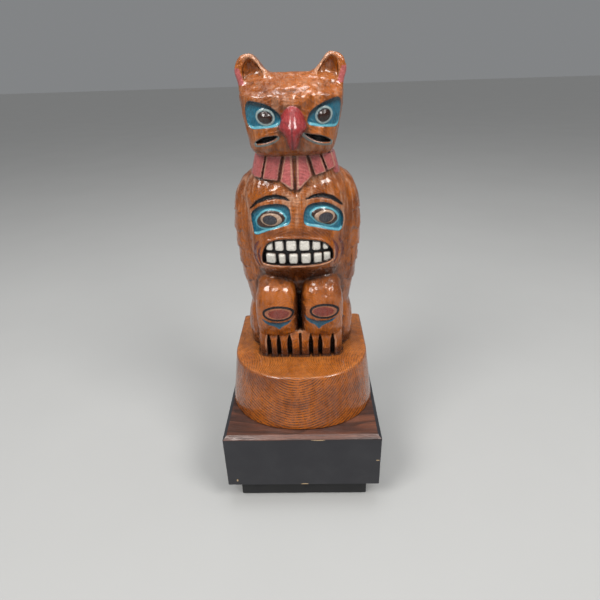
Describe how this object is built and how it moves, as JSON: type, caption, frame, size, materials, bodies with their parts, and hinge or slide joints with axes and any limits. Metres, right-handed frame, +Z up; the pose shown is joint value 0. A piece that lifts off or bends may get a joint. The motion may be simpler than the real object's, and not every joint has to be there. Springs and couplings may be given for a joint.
{
  "type": "totem pole ornament",
  "caption": "Small carved totem, an eared bird above a crouching bear, on a half-round base and a black plinth.",
  "frame": {"origin": "middle of the underside of the foot, on the surface it stands on", "axes": "+Z up the totem, -Y out of the faces towards the viewer, +X to the viewer's right"},
  "size_m": [0.102, 0.102, 0.2758],
  "materials": {
    "carved_wood": "stained orange-brown, painted details, gloss varnish",
    "black_plinth": "satin black sides, dark brown wood-grained top",
    "black_foot": "matt black"
  },
  "bodies": {
    "root": {"carving": "carved_wood", "block": "black_plinth", "foot": "black_foot"}
  },
  "joints": []
}
